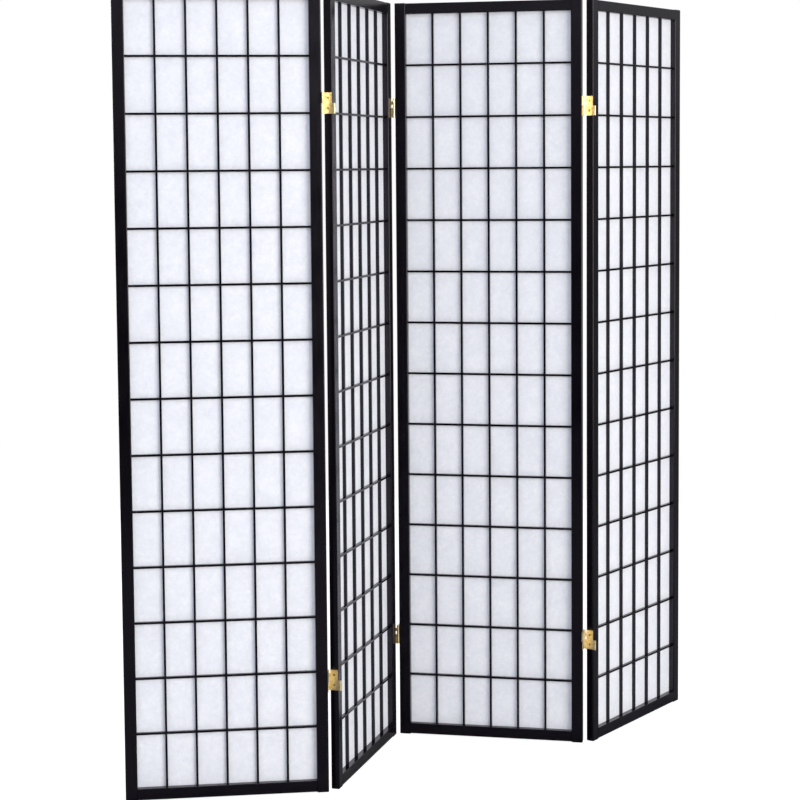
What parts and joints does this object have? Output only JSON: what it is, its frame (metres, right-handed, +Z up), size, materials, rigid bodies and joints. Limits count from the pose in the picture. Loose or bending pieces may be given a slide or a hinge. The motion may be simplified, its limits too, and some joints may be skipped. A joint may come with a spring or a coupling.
{
  "type": "folding screen",
  "caption": "Free-standing shoji folding screen: black lacquered lattice panels backed with white paper, joined by brass double-action hinges and standing in a zigzag.",
  "frame": {"origin": "on the floor, under the middle of the standing screen's bounding box", "axes": "+Z up, +X from the first panel to the last along the zigzag, -Y out of the lattice side that faces the viewer"},
  "size_m": [1.5546, 0.3432, 1.785],
  "materials": {
    "lacquered_wood": "satin black lacquer",
    "paper": "matte white fibre paper",
    "brass": "polished"
  },
  "bodies": {
    "panel_1": {"panel_1_left_stile": "lacquered_wood", "panel_1_right_stile": "lacquered_wood", "panel_1_top_rail": "lacquered_wood", "panel_1_bottom_rail": "lacquered_wood", "panel_1_vertical_bars": "lacquered_wood", "panel_1_horizontal_bars": "lacquered_wood", "panel_1_paper": "paper", "panel_1_hinge_pins": "brass", "panel_1_hinge_screws": "brass", "fold_1_lower_hinge_left_leaf": "brass", "fold_1_lower_hinge_top_link": "brass", "fold_1_upper_hinge_left_leaf": "brass", "fold_1_upper_hinge_top_link": "brass"},
    "panel_2": {"panel_2_left_stile": "lacquered_wood", "panel_2_right_stile": "lacquered_wood", "panel_2_top_rail": "lacquered_wood", "panel_2_bottom_rail": "lacquered_wood", "panel_2_vertical_bars": "lacquered_wood", "panel_2_horizontal_bars": "lacquered_wood", "panel_2_paper": "paper", "panel_2_hinge_pins": "brass", "panel_2_hinge_screws": "brass", "fold_1_lower_hinge_right_leaf": "brass", "fold_1_lower_hinge_bottom_link": "brass", "fold_1_upper_hinge_right_leaf": "brass", "fold_1_upper_hinge_bottom_link": "brass", "fold_2_lower_hinge_left_leaf": "brass", "fold_2_lower_hinge_bottom_link": "brass", "fold_2_upper_hinge_left_leaf": "brass", "fold_2_upper_hinge_bottom_link": "brass"},
    "panel_3": {"panel_3_left_stile": "lacquered_wood", "panel_3_right_stile": "lacquered_wood", "panel_3_top_rail": "lacquered_wood", "panel_3_bottom_rail": "lacquered_wood", "panel_3_vertical_bars": "lacquered_wood", "panel_3_horizontal_bars": "lacquered_wood", "panel_3_paper": "paper", "panel_3_hinge_pins": "brass", "panel_3_hinge_screws": "brass", "fold_2_lower_hinge_right_leaf": "brass", "fold_2_lower_hinge_top_link": "brass", "fold_2_upper_hinge_right_leaf": "brass", "fold_2_upper_hinge_top_link": "brass", "fold_3_lower_hinge_left_leaf": "brass", "fold_3_lower_hinge_top_link": "brass", "fold_3_upper_hinge_left_leaf": "brass", "fold_3_upper_hinge_top_link": "brass"},
    "panel_4": {"panel_4_left_stile": "lacquered_wood", "panel_4_right_stile": "lacquered_wood", "panel_4_top_rail": "lacquered_wood", "panel_4_bottom_rail": "lacquered_wood", "panel_4_vertical_bars": "lacquered_wood", "panel_4_horizontal_bars": "lacquered_wood", "panel_4_paper": "paper", "panel_4_hinge_pins": "brass", "panel_4_hinge_screws": "brass", "fold_3_lower_hinge_right_leaf": "brass", "fold_3_lower_hinge_bottom_link": "brass", "fold_3_upper_hinge_right_leaf": "brass", "fold_3_upper_hinge_bottom_link": "brass"}
  },
  "joints": [
    {"name": "fold_1", "type": "hinge", "parent": "panel_1", "child": "panel_2", "pos_m": [-0.3536, -0.13799, 0.25], "axis": [0, 0, 1], "range_deg": [-66.1, 111.9]},
    {"name": "fold_2", "type": "hinge", "parent": "panel_2", "child": "panel_3", "pos_m": [0.00193, 0.14684, 0.25], "axis": [0, 0, -1], "range_deg": [-85.4, 92.6]},
    {"name": "fold_3", "type": "hinge", "parent": "panel_3", "child": "panel_4", "pos_m": [0.35445, -0.14169, 0.25], "axis": [0, 0, 1], "range_deg": [-67, 111]}
  ]
}
